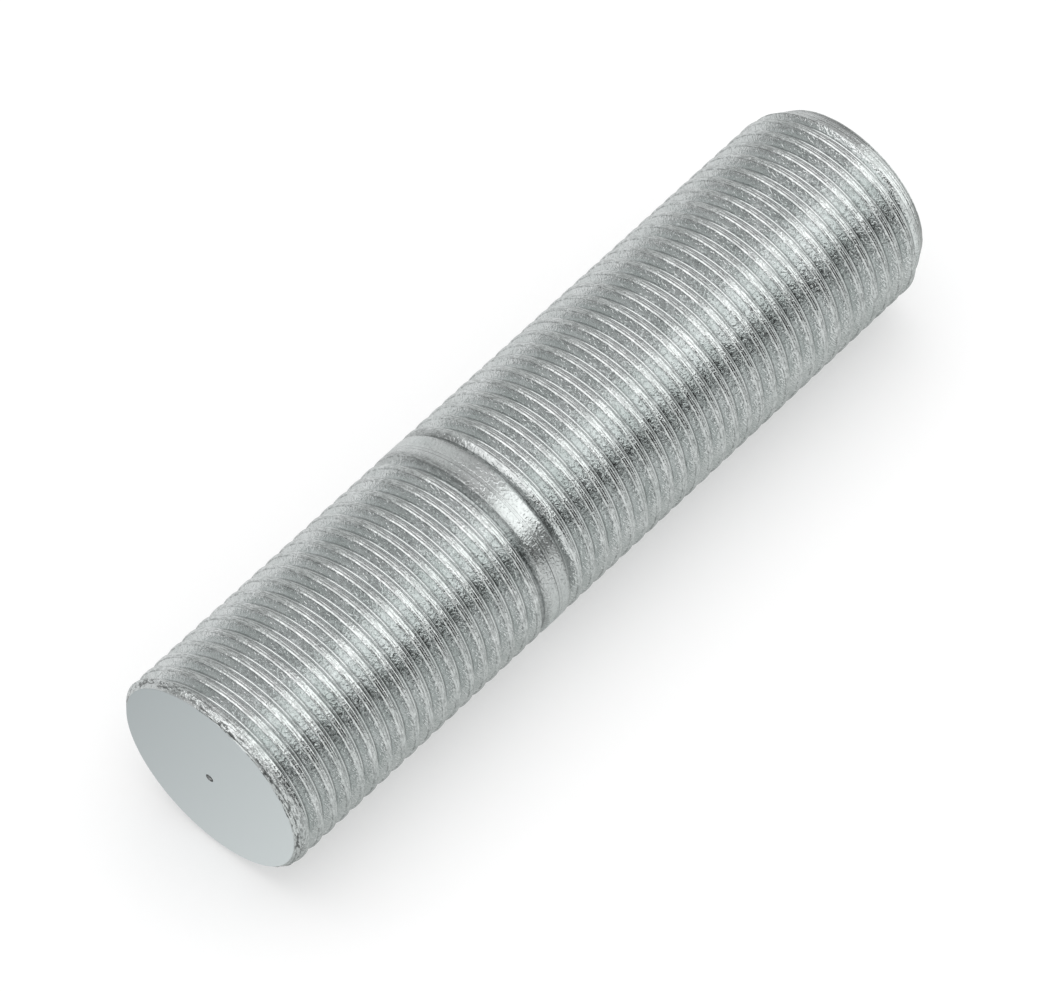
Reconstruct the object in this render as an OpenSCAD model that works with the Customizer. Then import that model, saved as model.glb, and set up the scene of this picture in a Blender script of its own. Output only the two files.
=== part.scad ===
// Headless wheel stud: one steel rod with a rolled right-hand thread on each end.
// It stands on its hub end; +Z runs along the stud to the nut end. Millimetres.

/* [Thread] */
// Diameter over the thread crests (an M18 x 1.5 thread at its lower limit)
major_d = 17.74; // [16:0.02:20]
// Distance from one crest to the next
pitch = 1.5; // [1:0.25:2]
// Flat sides to each turn of the thread
sides = 24; // [16:4:28]

/* [Lengths] */
// Threaded end that screws into the hub, from its flat face to the plain land
hub_thread_len = 28; // [18:0.5:36]
// Plain land between the two threads
land_len = 1.5; // [1:0.1:6]
// Threaded end that takes the wheel nut, from the plain land to its tip
nut_thread_len = 43; // [24:0.5:50]
// Length over which each thread fades out beside the land
runout_len = 1.2; // [0.6:0.1:3]

/* [Ends] */
// Edge break around the flat hub end, at 45 degrees
hub_edge = 0.5; // [0.2:0.05:0.8]
// Length of the lead chamfer on the nut end
lead_len = 2.1; // [1.5:0.1:3]
// Diameter of the flat that the lead chamfer leaves
lead_end_d = 15.4; // [12:0.1:15.5]

/* [Centre mark] */
// Diameter of the small centre mark in the hub end
mark_d = 0.7; // [0.3:0.1:2]
// Depth of the centre mark
mark_depth = 0.3; // [0.1:0.05:1]

/* [Hidden] */

steel = [0.74, 0.76, 0.77];

major_r = major_d / 2;
lead_end_r = lead_end_d / 2;
hub_end_r = major_r - hub_edge;
land_z = hub_thread_len;
nut_thread_z = land_z + land_len;
land_mid_z = (land_z + nut_thread_z) / 2;
total_len = nut_thread_z + nut_thread_len;

// A metric 60 degree profile: a crest flat, a flank, a root flat and the flank back
thread_depth = 0.6134 * pitch;
crest_flat = pitch / 8;
flank_run = thread_depth * tan(30);
root_flat = pitch - crest_flat - 2 * flank_run;
corner_z = [0, crest_flat, crest_flat + flank_run, crest_flat + flank_run + root_flat];
corner_depth = [0, 0, thread_depth, thread_depth];
corners = len(corner_z);

// Whole turns that fit between the end faces, centred between them
end_gap = 0.15 * pitch;
turns = floor((total_len - 2 * end_gap) / pitch) - 1;
first_z = (total_len - (turns + 1) * pitch) / 2;

function share(x) = max(0, min(1, x));

// Radius of the rod before threading: edge break, full diameter, then the lead chamfer
function rod_r(z) =
    z < hub_edge ? hub_end_r + z
    : z < total_len - lead_len ? major_r
    : major_r - (major_r - lead_end_r) * (z - total_len + lead_len) / lead_len;

// How much of its full depth the thread groove has at height z
function groove_share(z) =
    z < land_mid_z
        ? share(z / pitch) * share((land_z - z) / runout_len)
        : share((z - nut_thread_z) / runout_len) * share((total_len - z) / end_gap);

// A point of the thread: corner m counts up the rod, side j counts round it
function thread_point(m, j) =
    let (
        angle = 360 * j / sides,
        k = m % corners,
        z = first_z + pitch * (floor(m / corners) + j / sides) + corner_z[k],
        r = min(rod_r(z), major_r - corner_depth[k] * groove_share(z))
    )
    [r * cos(angle), r * sin(angle), z];

function ring(r, z) =
    [for (j = [0 : sides - 1]) [r * cos(360 * j / sides), r * sin(360 * j / sides), z]];

// Every thread corner runs up the rod as one helix; the end faces are rings of points.
rows = corners * turns + 1;
top_row = rows - 1;
last = sides - 1;
thread_points = [for (m = [0 : top_row]) for (j = [0 : last]) thread_point(m, j)];
hub_ring = len(thread_points);
tip_ring = hub_ring + sides;
mark_ring = tip_ring + sides;
mark_tip = mark_ring + sides;
stud_points = concat(
    thread_points,
    ring(hub_end_r, 0),
    ring(lead_end_r, total_len),
    ring(mark_d / 2, 0),
    [[0, 0, mark_depth]]
);

// Number of a thread point: past the last side a helix goes on one turn higher
function at(m, j) = j < sides ? m * sides + j : (m + corners) * sides;

thread_faces = [
    for (m = [0 : top_row - 1])
        for (j = [0 : last])
            if (j < last || m + 1 + corners <= top_row)
                each [
                    [at(m, j), at(m + 1, j + 1), at(m, j + 1)],
                    [at(m, j), at(m + 1, j), at(m + 1, j + 1)]
                ]
];

hub_faces = [
    for (j = [0 : last - 1])
        each [
            [hub_ring + j, at(0, j), at(0, j + 1)],
            [hub_ring + j, at(0, j + 1), hub_ring + j + 1]
        ],
    [hub_ring + last, at(0, last), at(corners, 0)],
    for (m = [corners : -1 : 1]) [hub_ring + last, at(m, 0), at(m - 1, 0)],
    [hub_ring + last, at(0, 0), hub_ring]
];

mark_faces = [
    for (j = [0 : last])
        let (next = (j + 1) % sides)
            each [
                [hub_ring + j, hub_ring + next, mark_ring + next],
                [hub_ring + j, mark_ring + next, mark_ring + j],
                [mark_ring + j, mark_ring + next, mark_tip]
            ]
];

tip_faces = [
    for (j = [0 : last - 1])
        each [
            [tip_ring + j, at(top_row, j + 1), at(top_row, j)],
            [tip_ring + j, tip_ring + j + 1, at(top_row, j + 1)]
        ],
    [tip_ring, at(top_row, last), tip_ring + last],
    for (m = [top_row : -1 : top_row - corners + 1]) [tip_ring, at(m - 1, last), at(m, last)],
    [tip_ring, at(top_row, 0), at(top_row - corners, last)],
    [for (j = [last : -1 : 0]) tip_ring + j]
];

module stud() {
    color(steel)
        polyhedron(
            points = stud_points,
            faces = concat(thread_faces, hub_faces, mark_faces, tip_faces),
            convexity = 10
        );
}

stud();
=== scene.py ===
"""Looks of the headless wheel stud: a rolled, zinc plated rod with a thread on each end, and its stage."""

import math

import bpy
import numpy as np
from mathutils import Matrix, Vector, noise


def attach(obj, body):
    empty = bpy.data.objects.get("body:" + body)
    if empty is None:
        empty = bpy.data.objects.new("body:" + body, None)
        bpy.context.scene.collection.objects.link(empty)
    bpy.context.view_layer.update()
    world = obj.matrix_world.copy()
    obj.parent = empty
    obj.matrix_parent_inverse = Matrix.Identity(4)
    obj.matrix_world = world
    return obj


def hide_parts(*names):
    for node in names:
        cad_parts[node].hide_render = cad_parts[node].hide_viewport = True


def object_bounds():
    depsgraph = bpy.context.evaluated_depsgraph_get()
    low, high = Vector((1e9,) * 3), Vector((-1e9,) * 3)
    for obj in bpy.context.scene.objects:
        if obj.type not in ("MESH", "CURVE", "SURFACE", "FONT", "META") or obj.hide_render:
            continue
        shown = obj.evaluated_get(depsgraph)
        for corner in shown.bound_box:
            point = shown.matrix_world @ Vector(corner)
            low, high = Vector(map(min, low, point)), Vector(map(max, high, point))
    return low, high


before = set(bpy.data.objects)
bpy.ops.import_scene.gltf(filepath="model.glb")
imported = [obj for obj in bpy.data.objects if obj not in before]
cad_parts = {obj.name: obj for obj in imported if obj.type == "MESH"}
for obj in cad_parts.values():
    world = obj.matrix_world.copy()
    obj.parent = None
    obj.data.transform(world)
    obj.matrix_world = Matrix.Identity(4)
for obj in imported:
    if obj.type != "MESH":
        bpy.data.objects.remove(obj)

bl_info = {
    "name": "Headless wheel stud",
    "version": (1, 0, 0),
    "blender": (4, 5, 0),
    "location": "View3D > Sidebar > Wheel stud",
    "description": "Models a zinc plated wheel stud with rolled threads, and the stage it is shown on",
    "category": "Object",
}

MM = 0.001
CAD_LOW, CAD_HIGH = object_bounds()
STUD_RADIUS = (CAD_HIGH.x - CAD_LOW.x) / 2
STUD_LENGTH = CAD_HIGH.z - CAD_LOW.z
STUD_MIDDLE = Vector((0.0, 0.0, STUD_LENGTH / 2))


# ---------------------------------------------------------------- sizes and colours


class StudSizes(bpy.types.PropertyGroup):
    """Sizes of the threads, the land and the two ends."""

    pitch: bpy.props.FloatProperty(
        name="Pitch", description="Distance from one crest to the next",
        default=1.5 * MM, unit="LENGTH", precision=5,
    )
    crest_width: bpy.props.FloatProperty(
        name="Crest width", description="Width of the rolled crest, lip to lip",
        default=0.40 * MM, unit="LENGTH", precision=5,
    )
    crest_bevel: bpy.props.FloatProperty(
        name="Crest bevel", description="Width of the worn corner on each side of the crest",
        default=0.10 * MM, unit="LENGTH", precision=5,
    )
    seam_width: bpy.props.FloatProperty(
        name="Seam width", description="Width of the seam that rolling leaves along the crest",
        default=0.05 * MM, unit="LENGTH", precision=5,
    )
    seam_depth: bpy.props.FloatProperty(
        name="Seam depth", description="Depth of the seam that rolling leaves along the crest",
        default=0.02 * MM, unit="LENGTH", precision=5,
    )
    root_radius: bpy.props.FloatProperty(
        name="Root radius", description="Radius at the bottom of the groove",
        default=0.16 * MM, unit="LENGTH", precision=5,
    )
    hub_thread: bpy.props.FloatProperty(
        name="Hub thread", description="Length of the thread on the hub end",
        default=28.0 * MM, unit="LENGTH", precision=5,
    )
    land: bpy.props.FloatProperty(
        name="Land", description="Length of the plain land between the threads",
        default=1.5 * MM, unit="LENGTH", precision=5,
    )
    runout: bpy.props.FloatProperty(
        name="Run-out", description="Length over which each thread fades out beside the land",
        default=1.2 * MM, unit="LENGTH", precision=5,
    )
    hub_edge: bpy.props.FloatProperty(
        name="Hub edge", description="Edge break around the flat hub end",
        default=0.5 * MM, unit="LENGTH", precision=5,
    )
    lead: bpy.props.FloatProperty(
        name="Lead chamfer", description="Length of the chamfer on the nut end",
        default=2.1 * MM, unit="LENGTH", precision=5,
    )
    tip_radius: bpy.props.FloatProperty(
        name="Tip radius", description="Radius of the flat that the lead chamfer leaves",
        default=7.7 * MM, unit="LENGTH", precision=5,
    )
    mark_radius: bpy.props.FloatProperty(
        name="Centre mark", description="Radius of the centre mark in the hub end",
        default=0.35 * MM, unit="LENGTH", precision=5,
    )
    mark_depth: bpy.props.FloatProperty(
        name="Mark depth", description="Depth of the centre mark",
        default=0.3 * MM, unit="LENGTH", precision=5,
    )
    first_crest: bpy.props.FloatProperty(
        name="First crest", description="Height of the hub thread's first crest, on the stud's +X side",
        default=1.125 * MM, unit="LENGTH", precision=5,
    )
    steps: bpy.props.IntProperty(
        name="Steps a turn", description="Segments in one turn of the thread",
        default=128, min=24, max=160,
    )
    phase: bpy.props.FloatProperty(
        name="Second start", description="How far the nut thread is turned from the hub thread",
        default=math.radians(-28), subtype="ANGLE",
    )


class StudColours(bpy.types.PropertyGroup):
    """Colours of the plating and of the stage."""

    zinc: bpy.props.FloatVectorProperty(
        name="Zinc", description="Colour of the bright plating", subtype="COLOR",
        default=(0.79, 0.81, 0.81), min=0, max=1,
    )
    dull_zinc: bpy.props.FloatVectorProperty(
        name="Dull zinc", description="Colour of the duller patches", subtype="COLOR",
        default=(0.66, 0.69, 0.685), min=0, max=1,
    )
    face: bpy.props.FloatVectorProperty(
        name="End face", description="Colour of the matt end faces", subtype="COLOR",
        default=(0.72, 0.765, 0.77), min=0, max=1,
    )
    # Painted shade: the end faces are darker on their -X side, from a colour gradient across the stud
    face_shade: bpy.props.FloatVectorProperty(
        name="End face, shaded side", description="Colour of the matt end faces on the -X side",
        subtype="COLOR",
        default=(0.50, 0.54, 0.55), min=0, max=1,
    )
    # Painted shade: the inside of the centre mark is coloured nearly black for the shade in the punched hole
    mark: bpy.props.FloatVectorProperty(
        name="Centre mark", description="Colour inside the centre mark", subtype="COLOR",
        default=(0.06, 0.06, 0.06), min=0, max=1,
    )
    floor: bpy.props.FloatVectorProperty(
        name="Floor", description="Colour of the plain floor and table", subtype="COLOR",
        default=(0.93, 0.93, 0.93), min=0, max=1,
    )


# ---------------------------------------------------------------- small helpers


def deselect():
    """Leaves edit mode and selects nothing."""
    if bpy.context.object and bpy.context.object.mode != "OBJECT":
        bpy.ops.object.mode_set(mode="OBJECT")
    bpy.ops.object.select_all(action="DESELECT")


def edit(obj):
    """Opens the object alone in edit mode."""
    deselect()
    bpy.context.view_layer.objects.active = obj
    obj.select_set(True)
    bpy.ops.object.mode_set(mode="EDIT")


def select_faces(obj, test):
    """In edit mode, selects the faces that pass the test."""
    bpy.ops.mesh.select_all(action="DESELECT")
    bpy.ops.mesh.select_mode(type="FACE")
    bpy.ops.object.mode_set(mode="OBJECT")
    for face in obj.data.polygons:
        face.select = bool(test(face))
    bpy.ops.object.mode_set(mode="EDIT")


def smooth_step(x):
    """0 below 0, 1 above 1, and a soft rise between."""
    t = np.clip(x, 0.0, 1.0)
    return t * t * (3 - 2 * t)


# ---------------------------------------------------------------- the stud

# Half of the thread's angle, and the directions of the points that round its root
HALF_ANGLE = math.radians(30)
ROOT_ARC = tuple(math.radians(degrees) for degrees in (60, 36, 12))

# How far the worn corner falls, as a share of its own width, and how far that lowers the point where the
# flanks would meet, as a share of the crest width
CORNER_FALL = 0.6
POINT_FALL = 0.10

# Turns that are wound below the hub end, and turns to spare in all, before the rod is cut to length
TURNS_BELOW = 2
SPARE_TURNS = 3
MERGE_DISTANCE = 0.002 * MM
CUT_TOLERANCE = 0.001 * MM
SMOOTH_ANGLE = math.radians(28)

# Share of a pitch over which the groove comes back to full depth behind the tip
TIP_FADE = 0.3

# Wear: two noises, coarse and fine, with the share of the fine one, then how far it reaches from the middle
# of the crest (as a share of the pitch), from the hub end and from the tip, how deep it goes there, and how
# much of a worn rim the plating takes the tip's edge for
WEAR_SCALE = 900
FINE_WEAR_SCALE = 2300
FINE_WEAR_SHARE = 0.6
CREST_REACH = 0.14
HUB_RIM_REACH = 1.1 * MM
TIP_RIM_REACH = 1.6 * MM
CREST_WEAR = 0.004 * MM
HUB_RIM_WEAR = 0.16 * MM
TIP_RIM_WEAR = 0.05 * MM
TIP_RIM_SHARE = 0.7

# The hub end: how near it a point still belongs to its face, the ring inside the edge of that face, and the
# width of the centre mark's bottom as a share of its mouth
HUB_FACE_DEPTH = 0.02 * MM
INNER_RING = 0.96
MARK_TAPER = 0.45


def thread_profile(sizes):
    """One pitch of the thread, from one root to the next, as (height, depth below the crest) pairs."""
    half = sizes.pitch / 2
    lip = sizes.crest_width / 2
    seam = sizes.seam_width / 2
    bevel = sizes.crest_bevel
    point = (half - lip) / math.tan(HALF_ANGLE) + POINT_FALL * sizes.crest_width
    arc_centre = point - sizes.root_radius / math.sin(HALF_ANGLE)
    rising = [
        (0.0, sizes.seam_depth),
        (seam, 0.0),
        (lip - bevel / 2, 0.0),
        (lip + bevel / 2, bevel * CORNER_FALL),
    ]
    for turn in ROOT_ARC:
        height = half - sizes.root_radius * math.sin(turn)
        depth = arc_centre + sizes.root_radius * math.cos(turn)
        rising.append((height, depth))
    falling = [(-height, depth) for height, depth in reversed(rising[1:])]
    return falling + rising


def draw_profile(obj, sizes):
    """The plane's corners become one vertex, which is extruded into one pitch of profile."""
    points = [Vector((STUD_RADIUS - depth, 0.0, height)) for height, depth in thread_profile(sizes)]
    points.append(points[0] + Vector((0, 0, sizes.pitch)))
    edit(obj)
    bpy.ops.mesh.select_all(action="SELECT")
    bpy.ops.mesh.merge(type="CENTER")
    bpy.ops.mesh.select_all(action="SELECT")
    bpy.ops.transform.translate(value=points[0])
    for before, after in zip(points, points[1:]):
        bpy.ops.mesh.extrude_vertices_move(TRANSFORM_OT_translate={"value": after - before})
    bpy.ops.mesh.select_all(action="SELECT")
    bpy.ops.transform.translate(value=(0, 0, sizes.first_crest - TURNS_BELOW * sizes.pitch))
    bpy.ops.object.mode_set(mode="OBJECT")


def wind_profile(obj, sizes):
    """The Screw modifier winds the profile into a thread that is longer than the stud."""
    winding = obj.modifiers.new("winding", "SCREW")
    winding.axis = "Z"
    winding.angle = 2 * math.pi
    winding.screw_offset = sizes.pitch
    winding.iterations = math.ceil(STUD_LENGTH / sizes.pitch) + SPARE_TURNS
    winding.steps = sizes.steps
    winding.render_steps = sizes.steps
    bpy.ops.object.modifier_apply(modifier=winding.name)


def cut_to_length(obj):
    """The wound thread is merged, cut off flat at both ends, closed there and turned outwards."""
    edit(obj)
    bpy.ops.mesh.select_all(action="SELECT")
    bpy.ops.mesh.remove_doubles(threshold=MERGE_DISTANCE)
    for height, side in ((0.0, -1.0), (STUD_LENGTH, 1.0)):
        bpy.ops.mesh.select_all(action="SELECT")
        bpy.ops.mesh.bisect(
            plane_co=(0, 0, height), plane_no=(0, 0, side),
            use_fill=True, clear_outer=True, threshold=CUT_TOLERANCE,
        )
    bpy.ops.mesh.select_all(action="SELECT")
    bpy.ops.mesh.normals_make_consistent(inside=False)
    bpy.ops.object.mode_set(mode="OBJECT")


def screw_thread(sizes):
    """A rod that is threaded from end to end, cut to the stud's length."""
    deselect()
    bpy.ops.mesh.primitive_plane_add(size=MM, location=(0, 0, 0))
    obj = bpy.context.object
    obj.name = "threaded_stud"
    draw_profile(obj, sizes)
    wind_profile(obj, sizes)
    cut_to_length(obj)
    return obj


def blank_radius(sizes, z):
    """Radius of the rod before threading, at each height."""
    hub = STUD_RADIUS - sizes.hub_edge + z
    tip = sizes.tip_radius + (STUD_RADIUS - sizes.tip_radius) * (STUD_LENGTH - z) / sizes.lead
    return np.minimum(STUD_RADIUS, np.minimum(hub, tip))


def groove_share(sizes, z):
    """How much of its full depth the groove has at each height."""
    land_low = sizes.hub_thread
    land_high = sizes.hub_thread + sizes.land
    hub = smooth_step(z / sizes.pitch) * smooth_step((land_low - z) / sizes.runout)
    tip_rise = smooth_step((STUD_LENGTH - z) / (TIP_FADE * sizes.pitch))
    nut = smooth_step((z - land_high) / sizes.runout) * tip_rise
    return np.where(z < (land_low + land_high) / 2, hub, nut)


def wear_noise(place):
    """Uneven wear at one place on the stud."""
    return noise.noise(place * WEAR_SCALE) + FINE_WEAR_SHARE * noise.noise(place * FINE_WEAR_SCALE)


def shape_rod(obj, sizes):
    """Moves the wound thread's points: fades it at the land and the ends, adds the chamfers and the wear."""
    mesh = obj.data
    co = np.empty(len(mesh.vertices) * 3)
    mesh.vertices.foreach_get("co", co)
    co = co.reshape(-1, 3)
    z = co[:, 2]
    radius = np.hypot(co[:, 0], co[:, 1])
    angle = np.arctan2(co[:, 1], co[:, 0])
    turn_phase = ((z - sizes.first_crest) / sizes.pitch - angle / (2 * math.pi) + 0.5) % 1.0 - 0.5
    share = groove_share(sizes, z)
    depth = (STUD_RADIUS - radius) * share
    radius = np.minimum(STUD_RADIUS - depth, blank_radius(sizes, z))
    middle = sizes.hub_thread + sizes.land / 2
    angle = angle + sizes.phase * smooth_step((z - middle) / sizes.land + 0.5)

    places = np.stack((radius * np.cos(angle), radius * np.sin(angle), z), axis=1)
    wear = np.array([wear_noise(Vector(place)) for place in places])
    crest = np.clip(1 - np.abs(turn_phase) / CREST_REACH, 0, 1) * share
    hub_rim = np.clip(1 - z / HUB_RIM_REACH, 0, 1) * (z > HUB_FACE_DEPTH)
    tip_rim = np.clip(1 - (STUD_LENGTH - z) / TIP_RIM_REACH, 0, 1)
    wear_depth = CREST_WEAR * crest + HUB_RIM_WEAR * hub_rim + TIP_RIM_WEAR * tip_rim
    radius = radius - np.maximum(0, wear) * wear_depth
    rim = np.maximum(hub_rim, TIP_RIM_SHARE * tip_rim)
    co[:, 0] = radius * np.cos(angle)
    co[:, 1] = radius * np.sin(angle)
    mesh.vertices.foreach_set("co", co.ravel())
    for name, values in (("thread_phase", turn_phase), ("groove", share), ("rim", rim)):
        attribute = mesh.attributes.new(name, "FLOAT", "POINT")
        attribute.data.foreach_set("value", values.astype(np.float32))
    mesh.update()


def cut_centre_mark(obj, sizes):
    """The hub end's face is drawn in to the centre and pushed into a small punched mark."""
    edit(obj)
    select_faces(obj, lambda face: face.normal.z < -0.9 and face.center.z < HUB_FACE_DEPTH / 2)
    mouth = sizes.mark_radius / (STUD_RADIUS - sizes.hub_edge)
    for scale, rise in ((INNER_RING, 0.0), (mouth / INNER_RING, 0.0), (MARK_TAPER, sizes.mark_depth)):
        bpy.ops.mesh.extrude_region_move()
        bpy.ops.transform.resize(value=(scale, scale, 1), center_override=(0, 0, 0))
        bpy.ops.transform.translate(value=(0, 0, rise))
    bpy.ops.mesh.select_all(action="DESELECT")
    bpy.ops.object.mode_set(mode="OBJECT")


class STUD_OT_threaded_stud(bpy.types.Operator):
    """Models the stud: winds the thread, cuts it to length, shapes land, ends, wear and centre mark"""

    bl_idname = "wheel_stud.threaded_stud"
    bl_label = "Threaded stud"

    def execute(self, context):
        sizes = context.scene.stud_sizes
        obj = screw_thread(sizes)
        shape_rod(obj, sizes)
        cut_centre_mark(obj, sizes)
        bpy.ops.object.shade_smooth_by_angle(angle=SMOOTH_ANGLE)
        obj.data.materials.clear()
        obj.data.materials.append(zinc_plating(context.scene.stud_colours))
        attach(obj, "root")
        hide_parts("stud")
        return {"FINISHED"}


# ---------------------------------------------------------------- nodes

BLACK = (0.0, 0.0, 0.0)
WHITE = (1.0, 1.0, 1.0)


def new_material(name):
    """A material with an empty node tree, its shader and its output."""
    material = bpy.data.materials.new(name)
    material.use_nodes = True
    tree = material.node_tree
    tree.nodes.clear()
    shader = tree.nodes.new("ShaderNodeBsdfPrincipled")
    output = tree.nodes.new("ShaderNodeOutputMaterial")
    tree.links.new(shader.outputs["BSDF"], output.inputs["Surface"])
    return material, tree, shader


def attribute_node(tree, name):
    """A value that the mesh carries at each of its points."""
    node = tree.nodes.new("ShaderNodeAttribute")
    node.attribute_type = "GEOMETRY"
    node.attribute_name = name
    return node.outputs["Fac"]


def noise_node(tree, vector, scale, detail, roughness):
    """A cloudy value between 0 and 1."""
    node = tree.nodes.new("ShaderNodeTexNoise")
    node.inputs["Scale"].default_value = scale
    node.inputs["Detail"].default_value = detail
    node.inputs["Roughness"].default_value = roughness
    tree.links.new(vector, node.inputs["Vector"])
    return node.outputs["Fac"]


def math_node(tree, operation, first, second=None, third=None):
    """A sum worked out from numbers or from other nodes' values."""
    node = tree.nodes.new("ShaderNodeMath")
    node.operation = operation
    for socket, value in zip(node.inputs, (first, second, third)):
        if isinstance(value, bpy.types.NodeSocket):
            tree.links.new(value, socket)
        elif value is not None:
            socket.default_value = value
    return node.outputs[0]


def product(tree, first, *others):
    """All the values multiplied together."""
    for other in others:
        first = math_node(tree, "MULTIPLY", first, other)
    return first


def ramp_node(tree, value, stops):
    """A colour that depends on a value, with straight changes from stop to stop."""
    node = tree.nodes.new("ShaderNodeValToRGB")
    ramp = node.color_ramp
    while len(ramp.elements) > 1:
        ramp.elements.remove(ramp.elements[-1])
    first_position, first_colour = stops[0]
    ramp.elements[0].position = first_position
    ramp.elements[0].color = (*first_colour, 1)
    for position, colour in stops[1:]:
        ramp.elements.new(position).color = (*colour, 1)
    tree.links.new(value, node.inputs["Fac"])
    return node.outputs["Color"]


def rise(tree, value, start, end):
    """0 up to the start, and 1 from the end on."""
    return ramp_node(tree, value, [(start, BLACK), (end, WHITE)])


def fall(tree, value, start, end):
    """1 up to the start, and 0 from the end on."""
    return ramp_node(tree, value, [(start, WHITE), (end, BLACK)])


def ridge(tree, value, foot, top, top_end, foot_end):
    """0, a rise to 1, and a fall to 0 again."""
    return ramp_node(tree, value, [(foot, BLACK), (top, WHITE), (top_end, WHITE), (foot_end, BLACK)])


def mix_colour(tree, factor, first, second):
    """The first colour where the factor is 0, and the second where it is 1."""
    node = tree.nodes.new("ShaderNodeMix")
    node.data_type = "RGBA"
    for name, value in (("Factor", factor), ("A", first), ("B", second)):
        socket = next(s for s in node.inputs if s.name == name and s.enabled)
        if isinstance(value, bpy.types.NodeSocket):
            tree.links.new(value, socket)
        else:
            socket.default_value = (*value, 1)
    return next(s for s in node.outputs if s.enabled)


def choose(tree, factor, first, second):
    """The first shader where the factor is 0, and the second where it is 1."""
    node = tree.nodes.new("ShaderNodeMixShader")
    tree.links.new(factor, node.inputs["Fac"])
    tree.links.new(first, node.inputs[1])
    tree.links.new(second, node.inputs[2])
    return node.outputs["Shader"]


def vector_node(tree, operation, vector, other, output):
    """One number or vector worked out from a place and another vector."""
    node = tree.nodes.new("ShaderNodeVectorMath")
    node.operation = operation
    tree.links.new(vector, node.inputs[0])
    node.inputs[1].default_value = other
    return node.outputs[output]


def darker(colour, share):
    """The colour at a share of its brightness."""
    return tuple(channel * share for channel in colour)


# ---------------------------------------------------------------- the plating

# Where the marks and the bands of painted shade lie on one pitch of thread, as shares of the pitch from the
# middle of the crest
CREST_EDGE = (0.14, 0.19)
# Painted shade: dark bands just beside the crest, on the far and the near flank, for the shade where the
# flank turns down into the groove
FAR_CREST_SHADE = (0.14, 0.165, 0.19, 0.23)
NEAR_CREST_SHADE = (0.155, 0.175, 0.185, 0.21)
# Painted shade: a dark band where the flank runs into the root, for the shade down in the groove
ROOT_SHADE = (0.38, 0.41, 0.43, 0.45)
FLANK_END = 0.38
ROOT_START = 0.42

# How much of the fine relief is left in the root, and how dark the painted shade beside the crest is
ROOT_RELIEF = 0.15
CREST_SHADE_SHARE = 0.6

# How fine each noise of the plating is; the streaks are shorter along the stud than round it
GRAIN_SCALE = 5200
FLAKE_SCALE = 4300
SPECKLE_SCALE = 3200
STREAK_SCALE = 1500
PATCH_SCALE = 420
STREAK_STRETCH = (1, 1, 5)

# Depth below the tip that still counts as its face, and the radius of the painted shade over the centre mark
TIP_FACE_DEPTH = 0.005 * MM
MARK_SHADE_RADIUS = 0.36 * MM

# Above this height the fading ends of the grooves are dark; at the hub end they aren't
FADING_FROM = 3.0 * MM
TURNING_PITCH = 0.28 * MM

BUMP_DEPTH = 0.024 * MM
FACE_ROUGHNESS = 0.5


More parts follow.
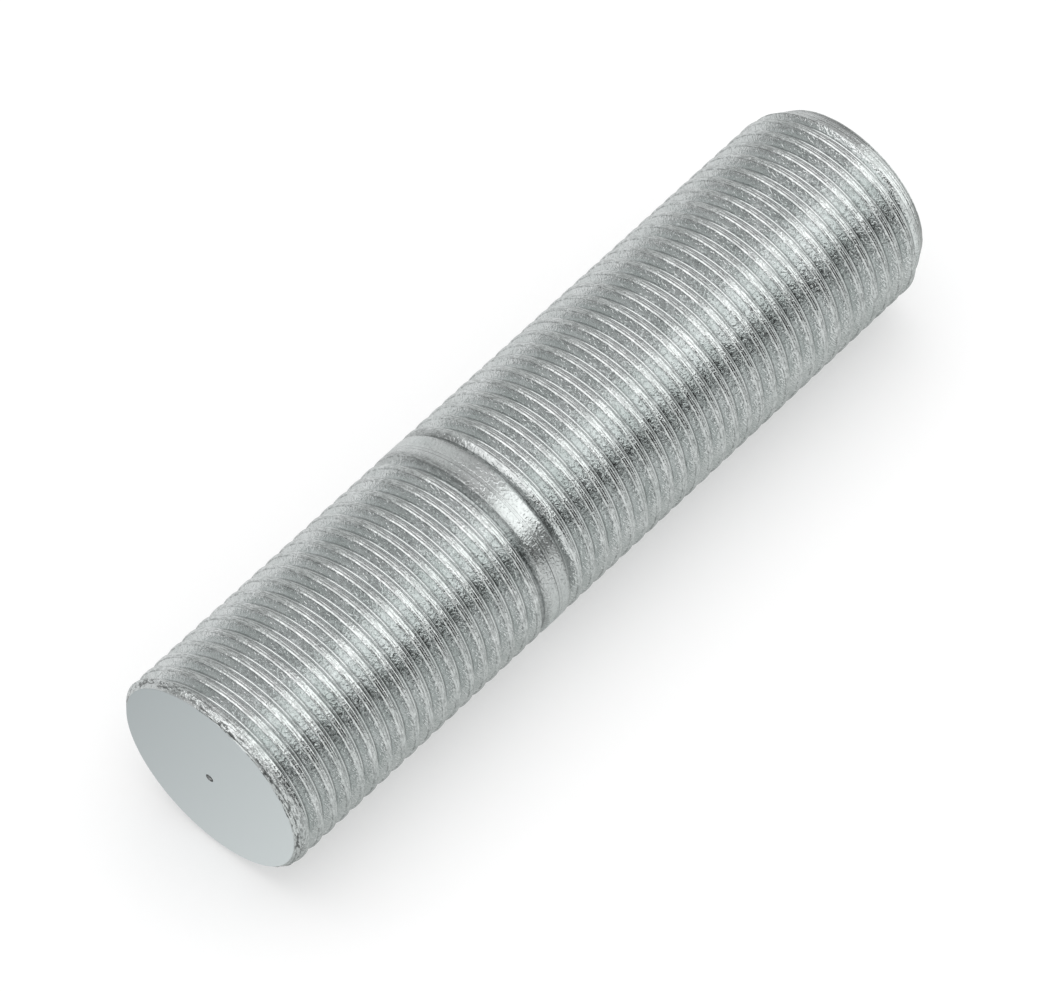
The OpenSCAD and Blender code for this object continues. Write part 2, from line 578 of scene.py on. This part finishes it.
def plating_masks(tree, place):
    """Where each mark of the plating shows, from 0 to 1, by its name."""
    split = tree.nodes.new("ShaderNodeSeparateXYZ")
    tree.links.new(place, split.inputs["Vector"])
    along = split.outputs["Z"]
    hub_face = math_node(tree, "LESS_THAN", along, HUB_FACE_DEPTH)
    tip_face = math_node(tree, "GREATER_THAN", along, STUD_LENGTH - TIP_FACE_DEPTH)
    distance = vector_node(tree, "LENGTH", place, (0, 0, 0), "Value")
    rim = attribute_node(tree, "rim")
    groove = attribute_node(tree, "groove")
    phase = attribute_node(tree, "thread_phase")
    off_crest = math_node(tree, "ABSOLUTE", phase)
    crest = product(tree, fall(tree, off_crest, *CREST_EDGE), groove)
    open_flank = ramp_node(tree, off_crest, [(FLANK_END, WHITE), (ROOT_START, darker(WHITE, ROOT_RELIEF))])

    grain = noise_node(tree, place, GRAIN_SCALE, 1.0, 0.6)
    flakes = noise_node(tree, place, FLAKE_SCALE, 0.0, 0.55)
    speckle = noise_node(tree, place, SPECKLE_SCALE, 3.0, 0.7)
    patches = noise_node(tree, place, PATCH_SCALE, 3.0, 0.6)
    ringed = vector_node(tree, "MULTIPLY", place, STREAK_STRETCH, "Vector")
    streaks = noise_node(tree, ringed, STREAK_SCALE, 4.0, 0.65)
    broken = rise(tree, streaks, 0.40, 0.60)

    # Painted shade beside the crest, broken up by the streaks on the near side
    far_crest_shade = ridge(tree, phase, *FAR_CREST_SHADE)
    near_crest_shade = product(tree, ridge(tree, product(tree, phase, -1.0), *NEAR_CREST_SHADE), broken)
    painted_crest_shade = product(tree, math_node(tree, "ADD", far_crest_shade, near_crest_shade), CREST_SHADE_SHARE, groove)
    fading = product(tree, math_node(tree, "SUBTRACT", 1.0, groove), groove)
    fading = product(tree, fading, math_node(tree, "MULTIPLY_ADD", broken, 1.4, 1.4))
    fading = product(tree, fading, math_node(tree, "GREATER_THAN", along, FADING_FROM))

    tip = product(tree, math_node(tree, "GREATER_THAN", along, STUD_LENGTH / 2), rim)
    hub_rim = math_node(tree, "SUBTRACT", rim, tip)
    turned = math_node(tree, "SINE", product(tree, along, 2 * math.pi / TURNING_PITCH))
    turned = product(tree, turned, tip)
    turned_lines = math_node(tree, "MULTIPLY_ADD", turned, 0.45, product(tree, tip, 0.35))
    pitted = product(tree, rise(tree, streaks, 0.50, 0.56), hub_rim)
    return {
        # across the stud, for the painted shade on the end faces
        "across": math_node(tree, "MULTIPLY_ADD", split.outputs["X"], 1 / (2 * STUD_RADIUS), 0.5),
        "face": math_node(tree, "ADD", hub_face, tip_face),
        # painted shade over the centre mark
        "mark shade": math_node(tree, "LESS_THAN", distance, MARK_SHADE_RADIUS),
        "rim": rim,
        "groove": groove,
        "crest": crest,
        "open flank": open_flank,
        # painted shade where the flank runs into the root
        "root shade": ridge(tree, off_crest, *ROOT_SHADE),
        "grain": grain,
        "freckles": fall(tree, grain, 0.30, 0.50),
        "flakes": rise(tree, flakes, 0.53, 0.68),
        "speckle": speckle,
        "dark speckle": fall(tree, speckle, 0.28, 0.44),
        "dull patches": rise(tree, patches, 0.35, 0.70),
        "torn crest": product(tree, rise(tree, streaks, 0.46, 0.58), crest),
        "painted_crest_shade": painted_crest_shade,
        "fading": fading,
        "turning": turned,
        "pits": product(tree, streaks, hub_rim),
        "worn": math_node(tree, "MULTIPLY_ADD", pitted, 1.2, turned_lines),
    }


def plating_colour(tree, masks, colours):
    """Bright and duller zinc under dark marks and painted shade, then the matt end faces with painted shade
    on their -X side, and the centre mark painted dark for its shade.
    """
    body = mix_colour(tree, masks["dull patches"], colours.zinc, colours.dull_zinc)
    marks = (
        # the mark or painted shade, how strongly it shows, and the share of the dull zinc's brightness that
        # it goes down to
        ("dark speckle", 0.14, 0.45),
        ("freckles", 0.20, 0.40),
        ("torn crest", 0.40, 0.30),
        # painted shade beside the crest
        ("painted_crest_shade", 1.00, 0.30),
        ("fading", 1.00, 0.30),
        ("worn", 1.00, 0.20),
        # painted shade at the edge of the root
        ("root shade", 0.40, 0.30),
    )
    for name, amount, share in marks:
        body = mix_colour(tree, product(tree, masks[name], amount), body, darker(colours.dull_zinc, share))
    # Painted shade: the end faces darken towards -X
    face_colour_and_shade = mix_colour(tree, masks["across"], colours.face_shade, colours.face)
    finish = mix_colour(tree, masks["face"], body, face_colour_and_shade)
    # Painted shade: the centre mark is coloured nearly black, for the shade in the hole
    return mix_colour(tree, product(tree, masks["mark shade"], 0.8), finish, colours.mark)


def plating_roughness(tree, masks):
    """Glossier in the thread than on the land, uneven with the speckle, and matt on the end faces."""
    rod = math_node(tree, "MULTIPLY_ADD", masks["groove"], -0.16, 0.23)
    rod = math_node(tree, "MULTIPLY_ADD", masks["speckle"], 0.12, rod)
    # a Mix node of plain numbers: its inputs 0, 2 and 3 are the factor and the two numbers
    mix = tree.nodes.new("ShaderNodeMix")
    tree.links.new(masks["face"], mix.inputs[0])
    tree.links.new(rod, mix.inputs[2])
    mix.inputs[3].default_value = FACE_ROUGHNESS
    return mix.outputs[0]


def plating_height(tree, masks):
    """The fine relief of the plating, as a share of the bump's depth."""
    reliefs = (
        ("grain", 1.2),
        ("flakes", 0.7),
        ("speckle", 0.5),
        ("torn crest", 0.3),
        ("pits", 2.5),
        ("turning", 0.5),
    )
    height = 0.0
    for name, amount in reliefs:
        height = math_node(tree, "MULTIPLY_ADD", masks[name], amount, height)
    limits = (
        # where the relief is stronger or weaker: how much it changes there, and what it is elsewhere
        ("rim", 0.8, 1.0),
        ("face", -0.96, 1.0),
        ("crest", -0.45, 1.0),
        ("groove", 0.2, 0.8),
    )
    for name, change, elsewhere in limits:
        height = product(tree, height, math_node(tree, "MULTIPLY_ADD", masks[name], change, elsewhere))
    return product(tree, height, masks["open flank"])


def zinc_plating(colours):
    """Bright zinc over a rolled thread: fine grain, torn crests, duller patches, and matt end faces."""
    material, tree, shader = new_material("zinc_plating")
    place = tree.nodes.new("ShaderNodeTexCoord").outputs["Object"]
    masks = plating_masks(tree, place)
    bump = tree.nodes.new("ShaderNodeBump")
    bump.inputs["Distance"].default_value = BUMP_DEPTH
    bump.inputs["Strength"].default_value = 1.0
    tree.links.new(plating_height(tree, masks), bump.inputs["Height"])
    shader.inputs["Metallic"].default_value = 1.0
    tree.links.new(plating_colour(tree, masks, colours), shader.inputs["Base Color"])
    tree.links.new(plating_roughness(tree, masks), shader.inputs["Roughness"])
    tree.links.new(bump.outputs["Normal"], shader.inputs["Normal"])
    return material


# ---------------------------------------------------------------- camera and stage

# Camera: the stud's axis leans this far away from it, and runs this far up from level as the camera sees it
AXIS_LEAN = math.radians(25.43)
AXIS_ROLL = math.radians(42.76)
CAMERA_DISTANCE = 506.5 * MM
CAMERA_ASIDE = 0.73 * MM
CAMERA_ABOVE = -1.58 * MM
SENSOR_WIDTH = 36.0
LENS = 228.7

# The table stands up beside the stud; its normal is turned this far from the side that faces the camera
TABLE_TURN = math.radians(24.5)
TABLE_GAP = 0.05 * MM
FLOOR_GAP = 0.2 * MM
STAGE_SIZE = 3.0

# How bright the room is to the matt floor and table, and how much of their own light they have
DOME_STRENGTH = 0.8
STAGE_GLOW = 0.4

# The soft light that gives the shadow on the table
SHADOW_LIGHT_FROM = Vector((-0.50, -0.86, 0.10)).normalized()
SHADOW_LIGHT_DISTANCE = 0.7
SHADOW_LIGHT_SIZE = 0.8
SHADOW_LIGHT_POWER = 2.6


def camera_axes():
    """The row frame's X, Y and Z as the camera sees them: right, down and forward."""
    axis = Vector((
        math.cos(AXIS_LEAN) * math.cos(AXIS_ROLL),
        -math.cos(AXIS_LEAN) * math.sin(AXIS_ROLL),
        math.sin(AXIS_LEAN),
    ))
    across = Vector((math.sin(AXIS_ROLL), math.cos(AXIS_ROLL), 0.0))
    away = axis.cross(across)
    return across, away, axis


def place_camera():
    """The camera looks up at the stud from under its hub end, with a long lens."""
    rows = camera_axes()
    right = Vector([row.x for row in rows])
    up = -Vector([row.y for row in rows])
    back = -Vector([row.z for row in rows])
    middle = Vector((CAMERA_ASIDE, CAMERA_ABOVE, CAMERA_DISTANCE))
    place = STUD_MIDDLE - Vector([middle.dot(row) for row in rows])
    data = bpy.data.cameras.new("camera")
    data.sensor_width = SENSOR_WIDTH
    data.lens = LENS
    data.clip_start = 0.01
    data.clip_end = 20.0
    camera = bpy.data.objects.new("camera", data)
    bpy.context.scene.collection.objects.link(camera)
    camera.matrix_world = Matrix.Translation(place) @ Matrix((right, up, back)).transposed().to_4x4()
    bpy.context.scene.camera = camera


def one_sided_white(name, colour):
    """A pale matt finish that shows from the front only."""
    material, tree, shader = new_material(name)
    shader.inputs["Base Color"].default_value = (*colour, 1)
    shader.inputs["Roughness"].default_value = 0.9
    shader.inputs["Specular IOR Level"].default_value = 0.0
    shader.inputs["Emission Color"].default_value = (1, 1, 1, 1)
    shader.inputs["Emission Strength"].default_value = STAGE_GLOW
    material.cycles.emission_sampling = "NONE"
    back = tree.nodes.new("ShaderNodeNewGeometry").outputs["Backfacing"]
    clear = tree.nodes.new("ShaderNodeBsdfTransparent")
    output = next(node for node in tree.nodes if node.type == "OUTPUT_MATERIAL")
    seen = choose(tree, back, shader.outputs["BSDF"], clear.outputs["BSDF"])
    tree.links.new(seen, output.inputs["Surface"])
    return material


def stage_plane(name, place, normal, material):
    """A plane that only the camera sees, so that it adds nothing to the light on the stud."""
    deselect()
    turn = normal.to_track_quat("Z", "Y").to_euler()
    bpy.ops.mesh.primitive_plane_add(size=STAGE_SIZE, location=place, rotation=turn)
    plane = bpy.context.object
    plane.name = name
    plane.data.materials.append(material)
    plane.visible_diffuse = False
    plane.visible_glossy = False
    plane.visible_transmission = False
    plane.visible_shadow = False


def shadow_softbox():
    """A square soft light that points at the stud's middle and that the metal doesn't mirror."""
    data = bpy.data.lights.new("shadow_softbox", "AREA")
    data.shape = "RECTANGLE"
    data.size = SHADOW_LIGHT_SIZE
    data.size_y = SHADOW_LIGHT_SIZE
    data.energy = SHADOW_LIGHT_POWER
    light = bpy.data.objects.new("shadow_softbox", data)
    bpy.context.scene.collection.objects.link(light)
    light.location = STUD_MIDDLE + SHADOW_LIGHT_FROM * SHADOW_LIGHT_DISTANCE
    light.rotation_mode = "QUATERNION"
    light.rotation_quaternion = SHADOW_LIGHT_FROM.to_track_quat("Z", "Y")
    light.visible_glossy = False


# ---------------------------------------------------------------- the room that the metal mirrors

# Directions in the room are X across the stud (-1 left, 1 right), Y down to the table and Z along the stud.
# Upright strips, each from and to a place across, and how bright it is: first those before the hub end,
# which the thread's near flanks mirror, then those beyond the nut end, which the crests and land mirror
HUB_STRIPS = (
    (-1.00, -0.50, 0.43),
    (-0.46, -0.13, 0.51),
    (-0.04, 0.22, 1.00),
    (0.25, 0.42, 0.02),
    (0.44, 1.00, 0.95),
)
NUT_STRIPS = (
    (-1.00, -0.86, 0.61),
    (-0.82, -0.28, 0.52),
    (-0.22, 0.50, 1.40),
    (0.53, 0.81, 0.02),
    (0.85, 1.00, 0.78),
)
STRIP_TINT = (0.98, 1.0, 0.99)

# Where the strips before the hub end give way to those beyond the nut end, along the stud
STRIPS_CHANGE = (-0.35, -0.15)

# The mirrored table: its colour on the left, on the right and further down there, where one turns into the
# other, and how far down each set of strips gives way to it
TABLE_LEFT = (0.80, 0.81, 0.81)
TABLE_RIGHT = (0.63, 0.65, 0.64)
TABLE_LOW = (0.44, 0.46, 0.45)
TABLE_ACROSS = (-0.6, 0.5)
TABLE_DOWN = (0.62, 0.90)
HUB_TABLE_FROM = (0.48, 0.60)
NUT_TABLE_FROM = (0.20, 0.40)

# Small dark and light clutter on the left of the room: how fine it is, its two greys and where in the noise
# they begin, the places across between which it lies, how soft those edges are, where it ends further down,
# and how much of it shows
CLUTTER_SCALE = 12
CLUTTER_DARK = 0.12
CLUTTER_DARK_TO = 0.38
CLUTTER_LIGHT = 0.78
CLUTTER_LIGHT_FROM = 0.62
CLUTTER_LEFT = -0.82
CLUTTER_RIGHT = -0.14
CLUTTER_EDGE = 0.04
CLUTTER_DOWN = (0.46, 0.38)
CLUTTER_SHARE = 0.9

# Round lights: where each one hangs, seen from the stud, the angle from its middle to its edge and how far
# that edge fades out, both in degrees, and how bright it is. The first is a white card under the hub end,
# the second an overhead light
ROUND_LIGHTS = (
    ((0.0, 0.90, -0.43), 14, 8, 0.95),
    ((-0.45, -0.72, -0.52), 36, 6, 1.4),
)


def along(tree, direction, axis):
    """How far the direction points along the axis, from -1 to 1."""
    return vector_node(tree, "DOT_PRODUCT", direction, Vector(axis).normalized(), "Value")


def between(tree, value, low, high):
    """0 at the low end and 1 at the high end, with a soft change between; low may be the larger one."""
    node = tree.nodes.new("ShaderNodeMapRange")
    node.interpolation_type = "SMOOTHSTEP"
    node.inputs["From Min"].default_value = low
    node.inputs["From Max"].default_value = high
    tree.links.new(value, node.inputs["Value"])
    return node.outputs["Result"]


def as_share(across):
    """A place across, from -1 to 1, as a share of the room's width."""
    return (across + 1) / 2


def strip_colours(tree, share, strips):
    """The strips' greys, each of which blends into the next over the gap between them."""
    stops = []
    for start, end, brightness in strips:
        colour = darker(STRIP_TINT, brightness)
        stops.append((as_share(start), colour))
        stops.append((as_share(end), colour))
    return ramp_node(tree, share, stops)


def add_clutter(tree, look, direction, share, down):
    """Lays the clutter over the left of the room."""
    clutter = ramp_node(tree, noise_node(tree, direction, CLUTTER_SCALE, 2.0, 0.6), [
        (CLUTTER_DARK_TO, darker(WHITE, CLUTTER_DARK)),
        (CLUTTER_LIGHT_FROM, darker(WHITE, CLUTTER_LIGHT)),
    ])
    extent = product(
        tree,
        between(tree, share, as_share(CLUTTER_LEFT), as_share(CLUTTER_LEFT + CLUTTER_EDGE)),
        between(tree, share, as_share(CLUTTER_RIGHT), as_share(CLUTTER_RIGHT - CLUTTER_EDGE)),
        between(tree, down, *CLUTTER_DOWN),
        CLUTTER_SHARE,
    )
    return mix_colour(tree, extent, look, clutter)


def room_colour(tree, direction):
    """What the metal mirrors in each direction: strips above, a pale table below, clutter and lights."""
    across = along(tree, direction, (1, 0, 0))
    down = along(tree, direction, (0, 1, 0))
    share = math_node(tree, "MULTIPLY_ADD", across, 0.5, 0.5)
    table_right = mix_colour(tree, between(tree, down, *TABLE_DOWN), TABLE_RIGHT, TABLE_LOW)
    table = mix_colour(tree, between(tree, across, *TABLE_ACROSS), TABLE_LEFT, table_right)
    hub_room = strip_colours(tree, share, HUB_STRIPS)
    hub_room = mix_colour(tree, between(tree, down, *HUB_TABLE_FROM), hub_room, table)
    nut_room = strip_colours(tree, share, NUT_STRIPS)
    nut_room = mix_colour(tree, between(tree, down, *NUT_TABLE_FROM), nut_room, table)
    towards_nut = between(tree, along(tree, direction, (0, 0, 1)), *STRIPS_CHANGE)
    look = mix_colour(tree, towards_nut, hub_room, nut_room)
    look = add_clutter(tree, look, direction, share, down)
    for middle, half_angle, fade, brightness in ROUND_LIGHTS:
        rim = math.cos(math.radians(half_angle + fade))
        full = math.cos(math.radians(half_angle))
        light = between(tree, along(tree, direction, middle), rim, full)
        look = mix_colour(tree, light, look, darker(WHITE, brightness))
    return look


def background(tree, colour, strength=1.0):
    """Light of one colour, or of a colour that other nodes work out."""
    node = tree.nodes.new("ShaderNodeBackground")
    if isinstance(colour, bpy.types.NodeSocket):
        tree.links.new(colour, node.inputs["Color"])
    else:
        node.inputs["Color"].default_value = (*colour, 1)
    node.inputs["Strength"].default_value = strength
    return node.outputs["Background"]


def studio_world():
    """White to the camera, an even dome to matt finishes, and the room to the metal."""
    world = bpy.data.worlds.new("studio")
    bpy.context.scene.world = world
    world.use_nodes = True
    tree = world.node_tree
    tree.nodes.clear()
    direction = tree.nodes.new("ShaderNodeTexCoord").outputs["Generated"]
    rays = tree.nodes.new("ShaderNodeLightPath").outputs
    room = background(tree, room_colour(tree, direction))
    dome = background(tree, WHITE, DOME_STRENGTH)
    lit = choose(tree, rays["Is Diffuse Ray"], room, dome)
    seen = choose(tree, rays["Is Camera Ray"], lit, background(tree, WHITE))
    output = tree.nodes.new("ShaderNodeOutputWorld")
    tree.links.new(seen, output.inputs["Surface"])


class STUD_OT_stage(bpy.types.Operator):
    """Adds the pale floor, the pale table, the soft light and the camera"""

    bl_idname = "wheel_stud.stage"
    bl_label = "Stage"

    def execute(self, context):
        floor_colour = darker(context.scene.stud_colours.floor, 1 - STAGE_GLOW)
        pale = one_sided_white("pale_floor", floor_colour)
        up = Vector((0.0, 0.0, 1.0))
        towards_camera = Vector((-math.sin(TABLE_TURN), -math.cos(TABLE_TURN), 0.0))
        stage_plane("floor", -up * FLOOR_GAP, up, pale)
        stage_plane("table", STUD_MIDDLE - towards_camera * (STUD_RADIUS + TABLE_GAP), towards_camera, pale)
        studio_world()
        shadow_softbox()
        context.scene.view_settings.view_transform = "Standard"
        place_camera()
        return {"FINISHED"}


# ---------------------------------------------------------------- panel and registration


class STUD_PT_panel(bpy.types.Panel):
    """Lists the pieces, their sizes and their colours"""

    bl_label = "Wheel stud"
    bl_idname = "STUD_PT_panel"
    bl_space_type = "VIEW_3D"
    bl_region_type = "UI"
    bl_category = "Wheel stud"

    def draw(self, context):
        layout = self.layout
        for operator in OPERATORS:
            layout.operator(operator.bl_idname)
        for group in (context.scene.stud_sizes, context.scene.stud_colours):
            for name in group.__annotations__:
                layout.prop(group, name)


OPERATORS = (STUD_OT_threaded_stud, STUD_OT_stage)
CLASSES = (StudSizes, StudColours, *OPERATORS, STUD_PT_panel)


def register():
    """Makes the classes and their settings known to Blender."""
    for cls in CLASSES:
        bpy.utils.register_class(cls)
    bpy.types.Scene.stud_sizes = bpy.props.PointerProperty(type=StudSizes)
    bpy.types.Scene.stud_colours = bpy.props.PointerProperty(type=StudColours)


def unregister():
    """Takes the settings and the classes away again."""
    del bpy.types.Scene.stud_colours
    del bpy.types.Scene.stud_sizes
    for cls in reversed(CLASSES):
        bpy.utils.unregister_class(cls)


def main():
    """Registers the classes and makes every piece and the stage."""
    register()
    bpy.ops.wheel_stud.threaded_stud()
    bpy.ops.wheel_stud.stage()


if __name__ == "__main__":
    main()
